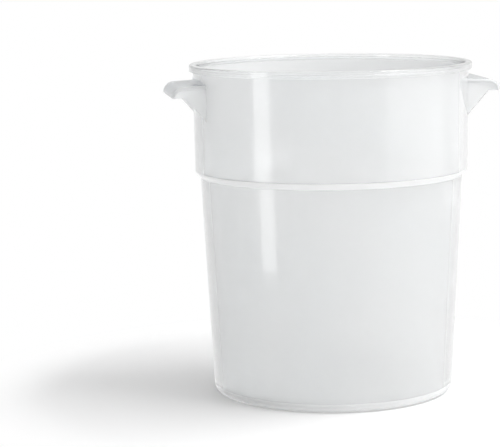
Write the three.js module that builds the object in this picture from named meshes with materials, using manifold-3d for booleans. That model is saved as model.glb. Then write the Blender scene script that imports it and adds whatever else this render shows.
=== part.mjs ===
// Round food storage container: a tall translucent tub with a stepped wall, a skirted rim and two ear handles.
// Millimetres, +Z up. The origin is the middle of the foot, on the table, and the ears lie along X.
import * as THREE from "three";
import { mergeVertices } from "three/addons/utils/BufferGeometryUtils.js";
import Module from "manifold-3d";

const wasm = await Module();
wasm.setup();

// Heights of the body, measured up from the table.
const HEIGHT = 218; // top of the rim
const SHOULDER_HEIGHT = 144.2; // lower edge of the step in the wall
const SHOULDER_RISE = 3.7; // how far the step climbs
const SHOULDER_BAND = 3; // plain wall kept above and below the step, in the step's own moulding band

// Radii of the body's outer face.
const UPPER_RADIUS = 90; // upper wall, just above the step
const NECK_FLARE = 0.6; // how much wider the upper wall is under the rim
const SHOULDER_STEP = 3.5; // how far the wall goes in below the step
const LOWER_TAPER = 7.2; // how much narrower the lower wall is at the table
const HEEL_RADIUS = 5; // rounding between the lower wall and the foot

// Thicknesses of the body.
const WALL = 2.2;
const FLOOR_THICKNESS = 3;
const FLOOR_FILLET = 3; // inside rounding between the floor and the wall
const FOOT_HEIGHT = 1.4; // how far the floor is held off the table
const FOOT_WIDTH = 6; // flat part of the foot ring

// Rim: a flange on top of the wall, with a skirt hanging from its outer edge.
const RIM_OVERHANG = 2.4; // beyond the neck
const RIM_DEPTH = 4.4; // from the top of the rim to the lower edge of the skirt
const FLANGE_THICKNESS = 2;
const SKIRT_THICKNESS = 1.3;
const RIM_ROUND = 0.9; // rounding of the flange's two top edges

// Ear handles: a thin plate that turns down into a round nose, closed at both ends by a web.
const EAR_WIDTH = 58;
const EAR_REACH = 17.2; // from the neck to the outer face of the nose
const EAR_DROP = 11.3; // from the top of the rim down to the plate, at the neck
const EAR_SLOPE = THREE.MathUtils.degToRad(2.9); // fall of the plate towards the nose
const EAR_SKIN = 2;
const EAR_DEPTH = 7.7; // from the plate's top at the neck to the lower edge of the nose
const NOSE_RADIUS = 7;
const WEB_THICKNESS = 2;
const WEB_KNEE = 9.1; // from the neck to where the web's lower edge turns towards the wall
const WEB_LENGTH = 24.7; // from the plate's top down to the web's lowest point on the wall
const ROOT_GAP = 0.3; // clearance between an ear's root and the wall that it grows from
const ROOT_OVERLAP = 6; // how far an ear's blank runs into the wall before it is trimmed

// Smoothness of round shapes.
const RING_SIDES = 72;
const ARC_STEPS = 6;
const MERGE_DISTANCE = 1e-4;

// Sizes that follow from the ones above.
const NECK_RADIUS = UPPER_RADIUS + NECK_FLARE;
const RIM_RADIUS = NECK_RADIUS + RIM_OVERHANG;
const LOWER_RADIUS = UPPER_RADIUS - SHOULDER_STEP;
const FLANGE_BOTTOM = HEIGHT - FLANGE_THICKNESS;
const FLOOR_TOP = FOOT_HEIGHT + FLOOR_THICKNESS;
const SHOULDER_TOP = SHOULDER_HEIGHT + SHOULDER_RISE;
const SHOULDER_ANGLE = Math.atan2(SHOULDER_STEP, SHOULDER_RISE);
const INNER_SHOULDER_SHIFT = WALL * Math.tan(SHOULDER_ANGLE / 2);
const HEEL_CENTRE = lowerFace(HEEL_RADIUS) - HEEL_RADIUS;

// Outer face of the lower wall, as a straight cone.
function lowerFace(z) {
  return LOWER_RADIUS - LOWER_TAPER * (1 - z / SHOULDER_HEIGHT);
}

// Outer face of the upper wall, as a straight cone.
function upperFace(z) {
  return UPPER_RADIUS + (NECK_FLARE * (z - SHOULDER_TOP)) / (FLANGE_BOTTOM - SHOULDER_TOP);
}

// The wall's two cones with the step between them, moved in by depth and up by shift.
function steppedFace(z, depth, shift) {
  const low = SHOULDER_HEIGHT + shift;
  const high = SHOULDER_TOP + shift;
  if (z <= low) return lowerFace(z) - depth;
  if (z >= high) return upperFace(z) - depth;
  return THREE.MathUtils.mapLinear(z, low, high, lowerFace(low), upperFace(high)) - depth;
}

// Outer radius at a height, with the heel's rounding at the bottom.
function outerRadius(z) {
  if (z >= HEEL_RADIUS) return steppedFace(z, 0, 0);
  return HEEL_CENTRE + Math.sqrt(HEEL_RADIUS ** 2 - (HEEL_RADIUS - z) ** 2);
}

// Inner radius at a height, with the fillet above the floor.
function innerRadius(z) {
  const face = steppedFace(z, WALL, INNER_SHOULDER_SHIFT);
  const left = FLOOR_TOP + FLOOR_FILLET - z;
  if (left <= 0) return face;
  return face - FLOOR_FILLET + Math.sqrt(FLOOR_FILLET ** 2 - left ** 2);
}

// Heights at which a rounding of the given radius, standing on z, has its points.
function arcHeights(z, radius) {
  const steps = Array.from({ length: ARC_STEPS }, (_, i) => ((i + 1) / ARC_STEPS) * (Math.PI / 2));
  return steps.map((angle) => z + radius * (1 - Math.cos(angle)));
}

const OUTER_BENDS = [...arcHeights(0, HEEL_RADIUS), SHOULDER_HEIGHT, SHOULDER_TOP];
const INNER_BENDS = [
  ...arcHeights(FLOOR_TOP, FLOOR_FILLET),
  SHOULDER_HEIGHT + INNER_SHOULDER_SHIFT,
  SHOULDER_TOP + INNER_SHOULDER_SHIFT,
];

// A face's points from one height up to another, with one at each bend between them.
function facePoints(radiusAt, bends, low, high) {
  const between = bends.filter((z) => z > low && z < high);
  return [low, ...between, high].map((z) => new THREE.Vector2(radiusAt(z), z));
}

function outerPoints(low, high) {
  return facePoints(outerRadius, OUTER_BENDS, low, high);
}

function innerPoints(low, high) {
  return facePoints(innerRadius, INNER_BENDS, low, high);
}

// A quarter circle from one angle to another, as points.
function arc(centre, radius, from, to) {
  return Array.from({ length: ARC_STEPS + 1 }, (_, i) => {
    const angle = from + ((to - from) * i) / ARC_STEPS;
    return new THREE.Vector2(centre.x + radius * Math.cos(angle), centre.y + radius * Math.sin(angle));
  });
}

// Turns an outline of radius and height about the Z axis.
function lathe(points) {
  return new THREE.LatheGeometry(points, RING_SIDES).rotateX(Math.PI / 2);
}

// A closed ring, from an outline that runs up its outside and down its inside.
function ring(points) {
  return lathe([...points, points[0]]);
}

// A band of the wall between two heights.
function wallBand(low, high) {
  return ring([...outerPoints(low, high), ...innerPoints(low, high).reverse()]);
}

function footRing() {
  const inside = HEEL_CENTRE - FOOT_WIDTH;
  return ring([
    new THREE.Vector2(inside, 0),
    ...outerPoints(0, FOOT_HEIGHT),
    new THREE.Vector2(inside, FOOT_HEIGHT),
  ]);
}

function floorDisc() {
  return lathe([
    new THREE.Vector2(0, FOOT_HEIGHT),
    ...outerPoints(FOOT_HEIGHT, FLOOR_TOP),
    new THREE.Vector2(0, FLOOR_TOP),
  ]);
}

function rimFlange() {
  const inside = innerRadius(HEIGHT);
  const roundHeight = HEIGHT - RIM_ROUND;
  const outerCorner = new THREE.Vector2(RIM_RADIUS - RIM_ROUND, roundHeight);
  const innerCorner = new THREE.Vector2(inside + RIM_ROUND, roundHeight);
  return ring([
    new THREE.Vector2(innerRadius(FLANGE_BOTTOM), FLANGE_BOTTOM),
    new THREE.Vector2(RIM_RADIUS, FLANGE_BOTTOM),
    ...arc(outerCorner, RIM_ROUND, 0, Math.PI / 2),
    ...arc(innerCorner, RIM_ROUND, Math.PI / 2, Math.PI),
  ]);
}

function rimSkirt() {
  const inside = RIM_RADIUS - SKIRT_THICKNESS;
  const bottom = HEIGHT - RIM_DEPTH;
  return ring([
    new THREE.Vector2(inside, bottom),
    new THREE.Vector2(RIM_RADIUS, bottom),
    new THREE.Vector2(RIM_RADIUS, FLANGE_BOTTOM),
    new THREE.Vector2(inside, FLANGE_BOTTOM),
  ]);
}

// Ear sizes in the plane through the ear: x is the distance from the axis, y is the height.
const PLATE_TOP = HEIGHT - EAR_DROP;
const NOSE_FACE = NECK_RADIUS + EAR_REACH;
const NOSE_BOTTOM = PLATE_TOP - EAR_DEPTH;
const NOSE_START = NOSE_FACE - NOSE_RADIUS;
const WEB_INSIDE = EAR_WIDTH / 2 - WEB_THICKNESS;
const WEB_ROOT = Math.sqrt(UPPER_RADIUS ** 2 - (EAR_WIDTH / 2) ** 2);
const ROOT_START = WEB_ROOT - ROOT_OVERLAP;

// Height of the plate's top, or of its underside when lowered by the skin.
function plateHeight(x, lowered = 0) {
  return PLATE_TOP - Math.tan(EAR_SLOPE) * (x - NECK_RADIUS) - lowered / Math.cos(EAR_SLOPE);
}

const NOSE_CENTRE = new THREE.Vector2(NOSE_START, plateHeight(NOSE_START, NOSE_RADIUS));

// The rounded bend from the plate's slope to straight down, at the outer or inner face of the skin.
function noseBend(radius) {
  return arc(NOSE_CENTRE, radius, Math.PI / 2 - EAR_SLOPE, 0);
}

function plateOutline() {
  return [
    new THREE.Vector2(ROOT_START, plateHeight(ROOT_START)),
    new THREE.Vector2(NOSE_START, plateHeight(NOSE_START)),
    new THREE.Vector2(NOSE_START, plateHeight(NOSE_START, EAR_SKIN)),
    new THREE.Vector2(ROOT_START, plateHeight(ROOT_START, EAR_SKIN)),
  ];
}

function noseOutline() {
  return [
    new THREE.Vector2(NOSE_START, plateHeight(NOSE_START)),
    ...noseBend(NOSE_RADIUS),
    new THREE.Vector2(NOSE_FACE, NOSE_BOTTOM),
    new THREE.Vector2(NOSE_FACE - EAR_SKIN, NOSE_BOTTOM),
    ...noseBend(NOSE_RADIUS - EAR_SKIN).reverse(),
    new THREE.Vector2(NOSE_START, plateHeight(NOSE_START, EAR_SKIN)),
  ];
}

// The web closes the whole end of the ear, and its lower edge runs down to the wall as a gusset.
function webOutline() {
  const knee = new THREE.Vector2(NECK_RADIUS + WEB_KNEE, NOSE_BOTTOM);
  const toe = new THREE.Vector2(WEB_ROOT, PLATE_TOP - WEB_LENGTH);
  const slope = (knee.y - toe.y) / (knee.x - toe.x);
  return [
    new THREE.Vector2(ROOT_START, plateHeight(ROOT_START)),
    ...noseBend(NOSE_RADIUS),
    new THREE.Vector2(NOSE_FACE, NOSE_BOTTOM),
    knee,
    new THREE.Vector2(ROOT_START, toe.y - slope * (toe.x - ROOT_START)),
  ];
}

// An outline in the ear's plane, made solid from one Y to another.
function slab(outline, fromY, toY) {
  const shape = new THREE.Shape(outline);
  const geometry = new THREE.ExtrudeGeometry(shape, { depth: toY - fromY, bevelEnabled: false });
  const upright = new THREE.Matrix4().makeBasis(
    new THREE.Vector3(1, 0, 0),
    new THREE.Vector3(0, 0, 1),
    new THREE.Vector3(0, -1, 0),
  );
  return geometry.applyMatrix4(upright).translate(0, toY, 0);
}

// A closed mesh as a solid for cutting.
function toSolid(geometry) {
  const plain = geometry.clone();
  plain.deleteAttribute("normal");
  plain.deleteAttribute("uv");
  const merged = mergeVertices(plain, MERGE_DISTANCE);
  const vertProperties = new Float32Array(merged.attributes.position.array);
  const triVerts = new Uint32Array(merged.index.array);
  return new wasm.Manifold(new wasm.Mesh({ numProp: 3, vertProperties, triVerts }));
}

function toGeometry(solid) {
  const mesh = solid.getMesh();
  const geometry = new THREE.BufferGeometry();
  geometry.setAttribute("position", new THREE.BufferAttribute(mesh.vertProperties, 3));
  geometry.setIndex(new THREE.BufferAttribute(mesh.triVerts, 1));
  geometry.computeVertexNormals();
  return geometry;
}

// The space that the ears stay out of: the upper wall's outer face, grown by the root gap.
function wallSpace() {
  const points = [SHOULDER_TOP, FLANGE_BOTTOM].map(
    (z) => new THREE.Vector2(outerRadius(z) + ROOT_GAP, z),
  );
  return toSolid(
    lathe([new THREE.Vector2(0, SHOULDER_TOP), ...points, new THREE.Vector2(0, FLANGE_BOTTOM)]),
  );
}

const WALL_SPACE = wallSpace();

// Cuts an ear's blank back to the wall.
function trimmed(geometry) {
  return toGeometry(toSolid(geometry).subtract(WALL_SPACE));
}

// Milky polypropylene: thin walls let some light through, and thick edges look whiter.
function plastic(color, opacity) {
  return new THREE.MeshStandardMaterial({
    color,
    opacity,
    transparent: true,
    roughness: 0.32,
    metalness: 0,
  });
}

function piece(name, geometry, color, opacity) {
  const mesh = new THREE.Mesh(geometry, plastic(color, opacity));
  mesh.name = name;
  return mesh;
}

const WALL_COLOUR = 0xe4e8e8;
const EDGE_COLOUR = 0xeff1f1;
const WALL_OPACITY = 0.75;
const EDGE_OPACITY = 0.88;

function body() {
  const shoulderLow = SHOULDER_HEIGHT - SHOULDER_BAND;
  const shoulderHigh = SHOULDER_TOP + INNER_SHOULDER_SHIFT + SHOULDER_BAND;
  const group = new THREE.Group();
  group.add(
    piece("foot_ring", footRing(), EDGE_COLOUR, EDGE_OPACITY),
    piece("floor", floorDisc(), WALL_COLOUR, WALL_OPACITY),
    piece("lower_wall", wallBand(FLOOR_TOP, shoulderLow), WALL_COLOUR, WALL_OPACITY),
    piece("stacking_shoulder", wallBand(shoulderLow, shoulderHigh), EDGE_COLOUR, EDGE_OPACITY),
    piece("upper_wall", wallBand(shoulderHigh, FLANGE_BOTTOM), WALL_COLOUR, WALL_OPACITY),
    piece("rim_flange", rimFlange(), EDGE_COLOUR, EDGE_OPACITY),
    piece("rim_skirt", rimSkirt(), EDGE_COLOUR, EDGE_OPACITY),
  );
  return group;
}

// One ear, made on the +X side. Front is the side towards -Y before the ear is turned.
function ear(side) {
  const nearEdge = -EAR_WIDTH / 2;
  const farEdge = EAR_WIDTH / 2;
  const plate = trimmed(slab(plateOutline(), -WEB_INSIDE, WEB_INSIDE));
  const nose = slab(noseOutline(), -WEB_INSIDE, WEB_INSIDE);
  const nearWeb = trimmed(slab(webOutline(), nearEdge, -WEB_INSIDE));
  const farWeb = trimmed(slab(webOutline(), WEB_INSIDE, farEdge));
  const turned = side === "left";
  const group = new THREE.Group();
  group.add(
    piece(`${side}_ear_plate`, plate, WALL_COLOUR, WALL_OPACITY),
    piece(`${side}_ear_nose`, nose, WALL_COLOUR, WALL_OPACITY),
    piece(`${side}_ear_${turned ? "back" : "front"}_web`, nearWeb, EDGE_COLOUR, EDGE_OPACITY),
    piece(`${side}_ear_${turned ? "front" : "back"}_web`, farWeb, EDGE_COLOUR, EDGE_OPACITY),
  );
  group.rotation.z = turned ? Math.PI : 0;
  return group;
}

const container = new THREE.Group();
container.name = "round_food_container";
container.add(body(), ear("left"), ear("right"));

export default container;
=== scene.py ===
"""Looks of a round translucent food container: a moulded tub with an ear handle on each side."""

import math

import bmesh
import bpy
from mathutils import Matrix, Vector


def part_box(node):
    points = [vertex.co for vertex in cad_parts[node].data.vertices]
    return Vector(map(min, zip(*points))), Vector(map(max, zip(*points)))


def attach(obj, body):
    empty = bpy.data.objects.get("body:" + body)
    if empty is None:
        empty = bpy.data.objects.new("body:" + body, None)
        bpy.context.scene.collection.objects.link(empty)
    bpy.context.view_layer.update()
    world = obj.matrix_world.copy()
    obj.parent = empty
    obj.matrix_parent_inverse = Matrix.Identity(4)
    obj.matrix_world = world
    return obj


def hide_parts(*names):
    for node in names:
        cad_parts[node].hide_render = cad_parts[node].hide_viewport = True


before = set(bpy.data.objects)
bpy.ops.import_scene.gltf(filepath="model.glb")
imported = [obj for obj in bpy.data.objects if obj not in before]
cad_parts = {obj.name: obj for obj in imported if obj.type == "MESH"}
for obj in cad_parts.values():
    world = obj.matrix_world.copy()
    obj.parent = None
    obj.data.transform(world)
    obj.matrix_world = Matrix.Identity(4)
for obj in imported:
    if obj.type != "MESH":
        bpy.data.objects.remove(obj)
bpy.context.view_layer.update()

MM = 0.001
ON_AXIS = 0.001 * MM  # a point nearer than this to the axis lies on it

# Camera, from the photograph: its focal length, where it stands round the container and how it is turned.
PHOTO_WIDTH = 500
FOCAL_PIXELS = 2000
SENSOR_MM = 36
CAMERA_AZIMUTH = math.radians(-10.5)
CAMERA_DISTANCE = 1.3187
CAMERA_HEIGHT = 0.3051
CAMERA_PAN = math.radians(2.36)
CAMERA_PITCH = math.radians(8.36)
CAMERA_ROLL = math.radians(-0.88)

# Forms of the tub that the frame's boxes don't give, in metres.
WALL = 2.2 * MM
HEEL_ROUND = 5.0 * MM
FOOT_WIDTH = 6.0 * MM
FOOT_ROUND = 0.5 * MM
FLOOR_FILLET = 3.5 * MM
LOWER_TAPER = 7.2 * MM
SHOULDER_HEIGHT = 144.2 * MM
SHOULDER_RISE = 3.7 * MM
SHOULDER_STEP = 3.5 * MM
SHOULDER_ROUND = 1.4 * MM
SKIRT_THICKNESS = 1.3 * MM
SKIRT_ROUND = 0.5 * MM
UNDERCUT_ROUND = 0.4 * MM
RIM_ROUND = 1.0 * MM
STEP_LINE = 0.4 * MM  # how far the step's milky line reaches above it
HEEL_ZONE = 11.0 * MM  # how far the heel's milky zone reaches up from the table
RING_SIDES = 240
ARC_STEPS = 7
SUPPORT = 1.2 * MM  # distance from a rounding to the ring that keeps the straight wall beside it straight
ROW_SPACING = 12.0 * MM

# Forms of an ear, in metres.
EAR_DROP = 11.3 * MM
EAR_SLOPE = math.radians(2.9)
EAR_SKIN = 2.0 * MM
EAR_ROUND = 1.8 * MM  # rounding of the outer edge between the sheet and a web
WEB_THICKNESS = 2.0 * MM
WEB_INSET = (0.8 * MM, 0.02 * MM)  # how far a web stands in from the sheet's edge, at the wall and the nose
WEB_KNEE = 9.1 * MM  # from the wall to the corner where a web's lower edge turns down
ROOT_EMBED = 0.1 * MM  # how far an ear reaches into the wall
FILLET_WIDTH = 1.8 * MM
FILLET_HEIGHT = 5.0 * MM
LIP_ROUND = 0.4 * MM
EAR_COLUMNS = 18
PLATE_ROWS = 4
SHARP_ANGLE = math.radians(35)

# Places of the plastics in the tub's and in an ear's list of materials.
THIN_WALL, STEP, HEEL, RIM, RIM_OUTSIDE = range(5)
SHEET, EDGE, WEB, ROOT = range(4)

# Pattern of the plastic: the range of the noise that is used, and the roughness that it gives.
NOISE_LOW = 0.3
NOISE_HIGH = 0.7
SMOOTHEST = 0.23
ROUGHEST = 0.268
SKIN_ROUGHNESS = 0.05
STREAK_SQUEEZE = 0.04  # how much slower the flow streaks change upwards than round the wall


def box_of(node):
    """A node's lowest and highest corner."""
    low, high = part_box(node)
    return Vector(low), Vector(high)


HEIGHT = box_of("rim_flange")[1].z
RIM_RADIUS = box_of("rim_flange")[1].x
NECK_RADIUS = box_of("upper_wall")[1].x
FLANGE_BOTTOM = box_of("upper_wall")[1].z
SKIRT_BOTTOM = box_of("rim_skirt")[0].z
FLOOR_TOP = box_of("floor")[1].z
FOOT_HEIGHT = box_of("foot_ring")[1].z
FOOT_EDGE = box_of("foot_ring")[1].x
LOWER_WALL_TOP = box_of("lower_wall")[1]
TAPER = (LOWER_WALL_TOP.x - FOOT_EDGE) / (LOWER_WALL_TOP.z - FOOT_HEIGHT)
STEP_INNER = LOWER_WALL_TOP.x + TAPER * (SHOULDER_HEIGHT - LOWER_WALL_TOP.z)
STEP_OUTER = STEP_INNER + SHOULDER_STEP
STEP_TOP = SHOULDER_HEIGHT + SHOULDER_RISE
FLARE = (NECK_RADIUS - STEP_OUTER) / (FLANGE_BOTTOM - STEP_TOP)


def rounded(corners):
    """Points of an open outline whose corners are (radius, height, rounding)."""
    points = [Vector(corners[0][:2])]
    for before, corner, after in zip(corners, corners[1:], corners[2:]):
        here = Vector(corner[:2])
        into = (Vector(before[:2]) - here).normalized()
        out = (Vector(after[:2]) - here).normalized()
        half = into.angle(out) / 2
        if corner[2] == 0:
            points.append(here)
            continue
        reach = corner[2] / math.tan(half)
        centre = here + (into + out).normalized() * (corner[2] / math.sin(half))
        start = here + into * reach - centre
        turn = (here + out * reach - centre).angle_signed(start)
        for i in range(ARC_STEPS + 1):
            points.append(centre + Matrix.Rotation(turn * i / ARC_STEPS, 2) @ start)
    points.append(Vector(corners[-1][:2]))
    return points


def supported(points):
    """The outline with extra points on its long straight stretches, near both ends and along them."""
    out = [points[0]]
    for a, b in zip(points, points[1:]):
        length = (b - a).length
        if length > 3 * SUPPORT:
            inner = length - 2 * SUPPORT
            rows = max(1, round(inner / ROW_SPACING))
            for i in range(rows + 1):
                out.append(a.lerp(b, (SUPPORT + inner * i / rows) / length))
        out.append(b)
    return out


def revolved(name, outline):
    """A closed body turned about Z from an outline that starts and ends on the axis."""
    bm = bmesh.new()
    rings = []
    for point in outline:
        if point.x < ON_AXIS:
            rings.append([bm.verts.new((0, 0, point.y))])
            continue
        turns = [2 * math.pi * k / RING_SIDES for k in range(RING_SIDES)]
        rings.append([bm.verts.new((point.x * math.cos(t), point.x * math.sin(t), point.y)) for t in turns])
    for low, high in zip(rings, rings[1:]):
        for k in range(RING_SIDES):
            n = (k + 1) % RING_SIDES
            corners = [low[k % len(low)], low[n % len(low)], high[n % len(high)], high[k % len(high)]]
            bm.faces.new(list(dict.fromkeys(corners)))
    for face in bm.faces:
        middle = face.calc_center_median()
        face.material_index = region_at(middle.xy.length, middle.z)
    return finished(name, bm)


def region_at(radius, height):
    """Which of the tub's plastics a face has, by the place of its middle."""
    if SHOULDER_HEIGHT < height < STEP_TOP + STEP_LINE:
        return STEP
    if height < HEEL_ZONE:
        return HEEL
    if height <= SKIRT_BOTTOM:
        return THIN_WALL
    outside = radius > RIM_RADIUS - SKIRT_THICKNESS / 2
    on_top = height > HEIGHT - RIM_ROUND / 2
    return RIM_OUTSIDE if outside or on_top else RIM


def finished(name, bm):
    """A new object from a bmesh, with its faces pointing out and shaded smooth."""
    bmesh.ops.recalc_face_normals(bm, faces=bm.faces)
    for face in bm.faces:
        face.smooth = True
    mesh = bpy.data.meshes.new(name)
    bm.to_mesh(mesh)
    bm.free()
    piece = bpy.data.objects.new(name, mesh)
    bpy.context.scene.collection.objects.link(piece)
    return piece


def tub_outline():
    """The tub's section: from the middle of its underside out, up, over the rim and down to its floor."""
    lift = WALL * math.tan(math.atan2(SHOULDER_STEP, SHOULDER_RISE) / 2)
    base = STEP_INNER - LOWER_TAPER
    foot_inside = base - HEEL_ROUND - FOOT_WIDTH
    skirt_inside = RIM_RADIUS - SKIRT_THICKNESS
    neck_inside = NECK_RADIUS - WALL - FLARE * (FLANGE_BOTTOM - SKIRT_BOTTOM)
    inner_base = base + LOWER_TAPER * FLOOR_TOP / SHOULDER_HEIGHT - WALL
    return supported(
        rounded(
            [
                (0, FOOT_HEIGHT),
                (foot_inside - FOOT_HEIGHT / 2, FOOT_HEIGHT, FOOT_ROUND),
                (foot_inside, 0, FOOT_ROUND),
                (base, 0, HEEL_ROUND),
                (STEP_INNER, SHOULDER_HEIGHT, SHOULDER_ROUND),
                (STEP_OUTER, STEP_TOP, SHOULDER_ROUND),
                (NECK_RADIUS, FLANGE_BOTTOM, UNDERCUT_ROUND),
                (skirt_inside, FLANGE_BOTTOM, UNDERCUT_ROUND),
                (skirt_inside, SKIRT_BOTTOM, SKIRT_ROUND),
                (RIM_RADIUS, SKIRT_BOTTOM, SKIRT_ROUND),
                (RIM_RADIUS, HEIGHT, RIM_ROUND),
                (NECK_RADIUS - WALL, HEIGHT, RIM_ROUND),
                (neck_inside, SKIRT_BOTTOM, 0),
                (STEP_OUTER - WALL, STEP_TOP + lift, SHOULDER_ROUND),
                (STEP_INNER - WALL, SHOULDER_HEIGHT + lift, SHOULDER_ROUND),
                (inner_base, FLOOR_TOP, FLOOR_FILLET),
                (0, FLOOR_TOP),
            ]
        )
    )


class EarForm:
    """The right ear's surfaces: points by row along the section, place across and depth below the skin."""

    def __init__(self):
        nose = box_of("right_ear_nose")
        web = box_of("right_ear_front_web")
        self.half_width = -web[0].y
        self.toe = web[0].z
        self.nose_start = nose[0].x
        self.nose_face = nose[1].x
        self.lip = nose[0].z
        self.nose_radius = self.nose_face - self.nose_start
        self.centre_z = self.plate(self.nose_start) - self.nose_radius / math.cos(EAR_SLOPE)
        self.bends = 2 * ARC_STEPS
        self.nose_row = ARC_STEPS + PLATE_ROWS
        self.rows = self.nose_row + self.bends + 2

    def plate(self, x):
        """Height of the plate's upper face."""
        return HEIGHT - EAR_DROP - math.tan(EAR_SLOPE) * (x - NECK_RADIUS)

    def root(self, y, z):
        """Where the ear ends at a height, just inside the round and slightly flared wall."""
        radius = NECK_RADIUS - ROOT_EMBED - FLARE * (FLANGE_BOTTOM - z)
        return math.sqrt(radius * radius - y * y)

    def web_face(self, x):
        """Distance of a web's outer face from the ear's middle."""
        start = self.root(self.half_width, self.toe)
        share = (x - start) / (self.nose_face - start)
        return self.half_width - WEB_INSET[0] - (WEB_INSET[1] - WEB_INSET[0]) * share

    def point(self, row, y, depth):
        """Section point (x, z): the fillet on the wall, the plate, the nose's bend and its lower edge."""
        flat = self.root(y, self.plate(NECK_RADIUS)) + FILLET_WIDTH
        if row <= ARC_STEPS:
            angle = math.pi / 2 * row / ARC_STEPS
            x = flat - FILLET_WIDTH * math.cos(angle)
            crown = 0
            if depth == 0:
                crown = math.sqrt(max(0, 1 - (y / (self.half_width - EAR_ROUND)) ** 2))
            return x, self.plate(x) + FILLET_HEIGHT * crown * (1 - math.sin(angle)) - depth
        if row < self.nose_row:
            x = flat + (self.nose_start - flat) * (row - ARC_STEPS) / PLATE_ROWS
            return x, self.plate(x) - depth
        if row <= self.nose_row + self.bends:
            angle = (math.pi / 2 - EAR_SLOPE) * (1 - (row - self.nose_row) / self.bends)
            radius = self.nose_radius - depth
            return self.nose_start + radius * math.cos(angle), self.centre_z + radius * math.sin(angle)
        return self.nose_face - depth, self.lip


class EarMesh:
    """The right ear's mesh in the making."""

    def __init__(self):
        self.form = EarForm()
        self.bm = bmesh.new()
        self.rounding = self.bm.edges.layers.float.new("bevel_weight_edge")
        self.flat = self.form.half_width - EAR_ROUND

    def line(self, y, depth):
        """Points along the section at a place across the ear and a depth below its skin."""
        points = [self.form.point(row, y, depth) for row in range(self.form.rows)]
        return [self.bm.verts.new((x, y, z)) for x, z in points]

    def face(self, corners, plastic):
        """One face of a plastic."""
        self.bm.faces.new(corners).material_index = plastic

    def strip(self, first, second, plastic):
        """Faces between two lines of points."""
        for i in range(len(first) - 1):
            self.face((first[i], first[i + 1], second[i + 1], second[i]), plastic)

    def soften(self, chain):
        """Marks the edges along a chain of points for a small rounding."""
        for a, b in zip(chain, chain[1:]):
            self.bm.edges.get((a, b))[self.rounding] = 1

    def sheet(self):
        """The plate and the nose: lines of points on their skin and on their underside, joined by faces."""
        spread = [2 * k / EAR_COLUMNS - 1 for k in range(EAR_COLUMNS + 1)]
        skin = [self.line(self.flat * t, 0) for t in spread]
        below = []
        for t in spread:
            points = [self.form.point(row, self.flat * t, EAR_SKIN) for row in range(self.form.rows)]
            places = [(x, t * (self.form.web_face(x) - WEB_THICKNESS), z) for x, z in points]
            below.append([self.bm.verts.new(place) for place in places])
        for k in range(EAR_COLUMNS):
            self.strip(skin[k], skin[k + 1], SHEET)
            self.strip(below[k + 1], below[k], SHEET)
            for end, plastic in ((-1, EDGE), (0, ROOT)):
                self.face((skin[k][end], skin[k + 1][end], below[k + 1][end], below[k][end]), plastic)
        return skin, below

    def flank(self, way, skin, below):
        """One side of the ear: the rounded edge beside the sheet, the web below it and their end faces."""
        form = self.form
        turns = [math.pi / 2 * i / ARC_STEPS for i in range(1, ARC_STEPS + 1)]
        edge = []
        for t in turns:
            y = way * (self.flat + EAR_ROUND * math.sin(t))
            edge.append(self.line(y, EAR_ROUND * (1 - math.cos(t))))
        for first, second in zip([skin, *edge], edge):
            self.strip(first, second, EDGE)
        inset = [self.bm.verts.new((v.co.x, way * form.web_face(v.co.x), v.co.z)) for v in edge[-1]]
        self.strip(edge[-1], inset, EDGE)

        knee = (NECK_RADIUS + WEB_KNEE, form.lip)
        toe = (form.root(form.half_width, form.toe), form.toe)
        outlines = []
        for top, inward in ((inset, 0), (below, WEB_THICKNESS)):
            places = [(x, way * (form.web_face(x) - inward), z) for x, z in (knee, toe)]
            low = [self.bm.verts.new(place) for place in places]
            self.face([*top, *low], WEB)
            outlines.append([top[-1], *low, top[0]])
        outer, inner = outlines
        self.strip(outer[:3], inner[:3], EDGE)
        for end, plastic in ((-1, EDGE), (0, ROOT)):
            self.face([skin[end], *(points[end] for points in edge), inset[end], below[end]], plastic)
        self.face([*reversed(outer[2:]), *inner[2:]], ROOT)

        self.soften(outer[:3])
        self.soften(inner[:3])
        self.soften([points[-1] for points in (skin, *edge)])


def ear(side):
    """One handle: a plate that turns down into a round nose, with a web at each end, open below."""
    mesh = EarMesh()
    skin, below = mesh.sheet()
    mesh.flank(-1, skin[0], below[0])
    mesh.flank(1, skin[-1], below[-1])
    for lines in (skin, below):
        mesh.soften([points[-1] for points in lines])
    if side == "left":
        half_turn = Matrix.Rotation(math.pi, 3, "Z")
        bmesh.ops.rotate(mesh.bm, verts=mesh.bm.verts, cent=(0, 0, 0), matrix=half_turn)
    piece = finished(f"{side}_ear", mesh.bm)
    piece.data.set_sharp_from_angle(angle=SHARP_ANGLE)
    bevel = piece.modifiers.new("lip_rounding", "BEVEL")
    bevel.limit_method = "WEIGHT"
    bevel.width = LIP_ROUND
    bevel.segments = 2
    return piece


def node(tree, kind, **values):
    """A shader node with its inputs set by name."""
    made = tree.nodes.new(kind)
    for key, value in values.items():
        made.inputs[key.replace("_", " ")].default_value = value
    return made


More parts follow.
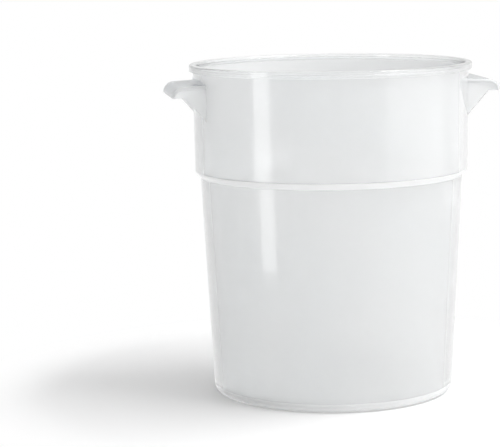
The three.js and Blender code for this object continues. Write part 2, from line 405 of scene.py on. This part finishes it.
def moulded_plastic(name, clearness, gloss, tints, index=1.4):
    """Milky polypropylene: a cloudy body, faint upright flow streaks, a fine grain and a glossy skin."""
    material = bpy.data.materials.new(name)
    material.use_nodes = True
    tree = material.node_tree
    link = tree.links.new
    shader = tree.nodes["Principled BSDF"]
    place = tree.nodes.new("ShaderNodeTexCoord").outputs["Object"]

    haze = node(tree, "ShaderNodeTexNoise", Scale=14.0, Detail=4.0, Roughness=0.55)
    link(place, haze.inputs["Vector"])
    tint = tree.nodes.new("ShaderNodeValToRGB")
    for stop, position, colour in zip(tint.color_ramp.elements, (NOISE_LOW, NOISE_HIGH), tints):
        stop.position = position
        stop.color = (*colour, 1)
    link(haze.outputs["Fac"], tint.inputs["Fac"])
    link(tint.outputs["Color"], shader.inputs["Base Color"])

    stretch = tree.nodes.new("ShaderNodeMapping")
    stretch.inputs["Scale"].default_value = (1, 1, STREAK_SQUEEZE)
    link(place, stretch.inputs["Vector"])
    streaks = node(tree, "ShaderNodeTexNoise", Scale=220.0, Detail=3.0, Roughness=0.6)
    link(stretch.outputs["Vector"], streaks.inputs["Vector"])
    rough = node(tree, "ShaderNodeMapRange", From_Min=NOISE_LOW, From_Max=NOISE_HIGH)
    rough.inputs["To Min"].default_value = SMOOTHEST
    rough.inputs["To Max"].default_value = ROUGHEST
    link(streaks.outputs["Fac"], rough.inputs["Value"])
    link(rough.outputs["Result"], shader.inputs["Roughness"])

    grain = node(tree, "ShaderNodeTexNoise", Scale=900.0, Detail=2.0, Roughness=0.5)
    link(place, grain.inputs["Vector"])
    bump = node(tree, "ShaderNodeBump", Strength=0.06, Distance=0.0003)
    link(grain.outputs["Fac"], bump.inputs["Height"])
    link(bump.outputs["Normal"], shader.inputs["Normal"])

    shader.inputs["IOR"].default_value = index
    shader.inputs["Transmission Weight"].default_value = clearness
    shader.inputs["Coat Weight"].default_value = gloss
    shader.inputs["Coat Roughness"].default_value = SKIN_ROUGHNESS
    return material


def make_camera():
    """The photograph's camera: a little above the rim, turned so that the tub stands to the right."""
    pan, pitch, roll = CAMERA_PAN, CAMERA_PITCH, CAMERA_ROLL
    ahead = Vector((-math.sin(pan) * math.cos(pitch), math.cos(pan) * math.cos(pitch), -math.sin(pitch)))
    level = Vector((math.cos(pan), math.sin(pan), 0))
    upright = level.cross(ahead)
    right = math.cos(roll) * level + math.sin(roll) * upright
    up = math.cos(roll) * upright - math.sin(roll) * level
    turn = Matrix((right, up, -ahead)).transposed().to_4x4()
    place = Matrix.Translation((0, -CAMERA_DISTANCE, CAMERA_HEIGHT))
    data = bpy.data.cameras.new("camera")
    data.sensor_width = SENSOR_MM
    data.lens = FOCAL_PIXELS / PHOTO_WIDTH * SENSOR_MM
    data.clip_end = 100
    camera = bpy.data.objects.new("camera", data)
    camera.matrix_world = Matrix.Rotation(CAMERA_AZIMUTH, 4, "Z") @ place @ turn
    bpy.context.scene.collection.objects.link(camera)
    bpy.context.scene.camera = camera


def soft_box(name, azimuth, distance, height, size, power, aim):
    """A rectangular lamp at an azimuth counted from the camera, right positive, facing the tub's axis."""
    data = bpy.data.lights.new(name, "AREA")
    data.shape = "RECTANGLE"
    data.size, data.size_y = size
    data.energy = power
    lamp = bpy.data.objects.new(name, data)
    way = CAMERA_AZIMUTH + math.radians(azimuth)
    lamp.location = (distance * math.sin(way), -distance * math.cos(way), height)
    facing = Vector((0, 0, aim)) - lamp.location
    lamp.rotation_euler = facing.to_track_quat("-Z", "Y").to_euler()
    lamp.visible_camera = False
    bpy.context.scene.collection.objects.link(lamp)
    return lamp


def reflector(name, azimuth, distance, size, radiance):
    """An upright bright panel on the floor that shows only as a reflection in the glossy plastic."""
    width, height = size
    power = radiance * math.pi * width * height
    lamp = soft_box(name, azimuth, distance, height / 2, size, power, aim=height / 2)
    lamp.visible_diffuse = False
    lamp.visible_transmission = False


def ray_is(tree, *kinds):
    """1 for a ray of any of the named kinds, such as Camera, and 0 for any other."""
    path = tree.nodes.new("ShaderNodeLightPath")
    found, *others = [path.outputs[f"Is {kind} Ray"] for kind in kinds]
    for other in others:
        either = tree.nodes.new("ShaderNodeMath")
        either.operation = "MAXIMUM"
        tree.links.new(found, either.inputs[0])
        tree.links.new(other, either.inputs[1])
        found = either.outputs[0]
    return found


def left_to_right(tree, left, right):
    """A strength that runs from left to right round the room, as seen from the camera."""
    sideways = tree.nodes.new("ShaderNodeVectorMath")
    sideways.operation = "DOT_PRODUCT"
    sideways.inputs[1].default_value = (math.cos(CAMERA_AZIMUTH), math.sin(CAMERA_AZIMUTH), 0)
    tree.links.new(tree.nodes.new("ShaderNodeTexCoord").outputs["Generated"], sideways.inputs[0])
    slope = node(tree, "ShaderNodeMapRange", From_Min=-1.0, From_Max=1.0, To_Min=left, To_Max=right)
    tree.links.new(sideways.outputs["Value"], slope.inputs["Value"])
    return slope.outputs["Result"]


def white_world(left, right, mirrored):
    """A white room, as bright as paper to the eye and through the plastic.

    As a light its strength runs from left to right, and in gloss from mirrored on the left to white.
    """
    world = bpy.data.worlds.new("white_room")
    bpy.context.scene.world = world
    world.use_nodes = True
    tree = world.node_tree
    link = tree.links.new
    back = tree.nodes["Background"]
    back.inputs["Color"].default_value = (1, 1, 1, 1)
    indirect = tree.nodes.new("ShaderNodeMapRange")
    link(ray_is(tree, "Glossy"), indirect.inputs["Value"])
    link(left_to_right(tree, left, right), indirect.inputs["To Min"])
    link(left_to_right(tree, mirrored, 1.0), indirect.inputs["To Max"])
    strength = node(tree, "ShaderNodeMapRange", To_Max=1.0)
    link(ray_is(tree, "Camera", "Transmission"), strength.inputs["Value"])
    link(indirect.outputs["Result"], strength.inputs["To Min"])
    link(strength.outputs["Result"], back.inputs["Strength"])


def white_floor(near, far, share, through):
    """Floor paint that keeps the shadow near the tub and runs into the white room far from it.

    Its glow grows from share at the near distance to 1 at the far one. Seen through the plastic it glows
    by through, because the real plastic passes light on to the floor behind it.
    """
    material = bpy.data.materials.new("white_floor")
    material.use_nodes = True
    tree = material.node_tree
    link = tree.links.new
    shader = tree.nodes["Principled BSDF"]
    shader.inputs["Base Color"].default_value = (0.9, 0.9, 0.9, 1)
    shader.inputs["Roughness"].default_value = 0.9
    shader.inputs["Specular IOR Level"].default_value = 0.0

    reach = tree.nodes.new("ShaderNodeVectorMath")
    reach.operation = "LENGTH"
    link(tree.nodes.new("ShaderNodeTexCoord").outputs["Object"], reach.inputs[0])
    beside_tub = node(tree, "ShaderNodeMapRange", To_Min=through, To_Max=share)
    link(ray_is(tree, "Camera"), beside_tub.inputs["Value"])
    fade = node(tree, "ShaderNodeMapRange", From_Min=near, From_Max=far, To_Max=1.0)
    fade.interpolation_type = "SMOOTHSTEP"
    link(reach.outputs["Value"], fade.inputs["Value"])
    link(beside_tub.outputs["Result"], fade.inputs["To Min"])
    glow = tree.nodes.new("ShaderNodeMath")
    glow.operation = "MULTIPLY"
    link(fade.outputs["Result"], glow.inputs[0])
    link(ray_is(tree, "Camera", "Glossy", "Transmission"), glow.inputs[1])
    from_above = tree.nodes.new("ShaderNodeMixShader")
    link(glow.outputs[0], from_above.inputs["Fac"])
    link(shader.outputs["BSDF"], from_above.inputs[1])
    link(tree.nodes.new("ShaderNodeEmission").outputs["Emission"], from_above.inputs[2])

    # From below the floor is clear, so that the tub's underside can be seen.
    either_side = tree.nodes.new("ShaderNodeMixShader")
    link(tree.nodes.new("ShaderNodeNewGeometry").outputs["Backfacing"], either_side.inputs["Fac"])
    link(from_above.outputs["Shader"], either_side.inputs[1])
    link(tree.nodes.new("ShaderNodeBsdfTransparent").outputs["BSDF"], either_side.inputs[2])
    link(either_side.outputs["Shader"], tree.nodes["Material Output"].inputs["Surface"])
    return material


def make_floor(paint):
    """A wide floor under the tub."""
    bpy.ops.mesh.primitive_plane_add(size=60)
    floor = bpy.context.object
    floor.name = "floor_stage"
    floor.data.materials.append(paint)


make_camera()

# Darkest and lightest colour in the plastic's clouds. The ears' tints are darker and cooler than the
# wall's. The cool cast is the plastic's own, and the darkness is painted shade on the ears' plates and
# noses.
wall_tints = ((0.975, 0.987, 0.992), (0.992, 0.997, 0.999))
ear_tints_with_painted_shade = ((0.80, 0.825, 0.85), (0.83, 0.85, 0.872))
# The moulding looks milkier where it is thick or bent.
wall_plastic = moulded_plastic("milky_wall", clearness=0.66, gloss=0.85, tints=wall_tints)
step_plastic = moulded_plastic("milky_step", clearness=0.15, gloss=0.7, tints=wall_tints)
heel_plastic = moulded_plastic("milky_heel", clearness=0.37, gloss=0.7, tints=wall_tints)
rim_plastic = moulded_plastic("milky_rim", clearness=0.94, gloss=0.7, tints=wall_tints)
skirt_plastic = moulded_plastic("milky_skirt", clearness=0.8, gloss=0.7, tints=wall_tints)
# Plates and noses of the ears: their darker colour is painted shade that makes their tops darker than the
# webs, which keep the wall's plastic.
ear_plastic_with_painted_shade = moulded_plastic("milky_ear", clearness=0.86, gloss=0.2, tints=ear_tints_with_painted_shade)
ear_edge_plastic = moulded_plastic("milky_ear_edge", clearness=0.5, gloss=0.2, tints=wall_tints)
# An ear's root runs on into the wall, so light passes its end face unbent.
root_plastic = moulded_plastic("joined_root", clearness=1.0, gloss=0.0, tints=wall_tints, index=1.0)

tub = revolved("tub", tub_outline())
for plastic in (wall_plastic, step_plastic, heel_plastic, rim_plastic, skirt_plastic):
    tub.data.materials.append(plastic)
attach(tub, "root")
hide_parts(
    "foot_ring",
    "floor",
    "lower_wall",
    "stacking_shoulder",
    "upper_wall",
    "rim_flange",
    "rim_skirt",
)

for side in ("left", "right"):
    handle = ear(side)
    for plastic in (ear_plastic_with_painted_shade, ear_edge_plastic, wall_plastic, root_plastic):
        handle.data.materials.append(plastic)
    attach(handle, "root")
    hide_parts(*(f"{side}_ear_{part}" for part in ("plate", "nose", "front_web", "back_web")))

white_world(left=0.0, right=1.5, mirrored=0.74)
make_floor(white_floor(near=0.18, far=0.255, share=0.2, through=1.0))
soft_box("key", azimuth=83, distance=1.4, height=2.75, size=(2.2, 0.8), power=54, aim=0.11)
reflector("strip", azimuth=-52.5, distance=0.42, size=(0.1, 0.5), radiance=2.6)
reflector("panel", azimuth=73, distance=0.75, size=(0.82, 1.0), radiance=0.9)
reflector("side_panel", azimuth=121, distance=0.75, size=(0.54, 1.0), radiance=0.26)
bpy.context.scene.view_settings.view_transform = "Standard"
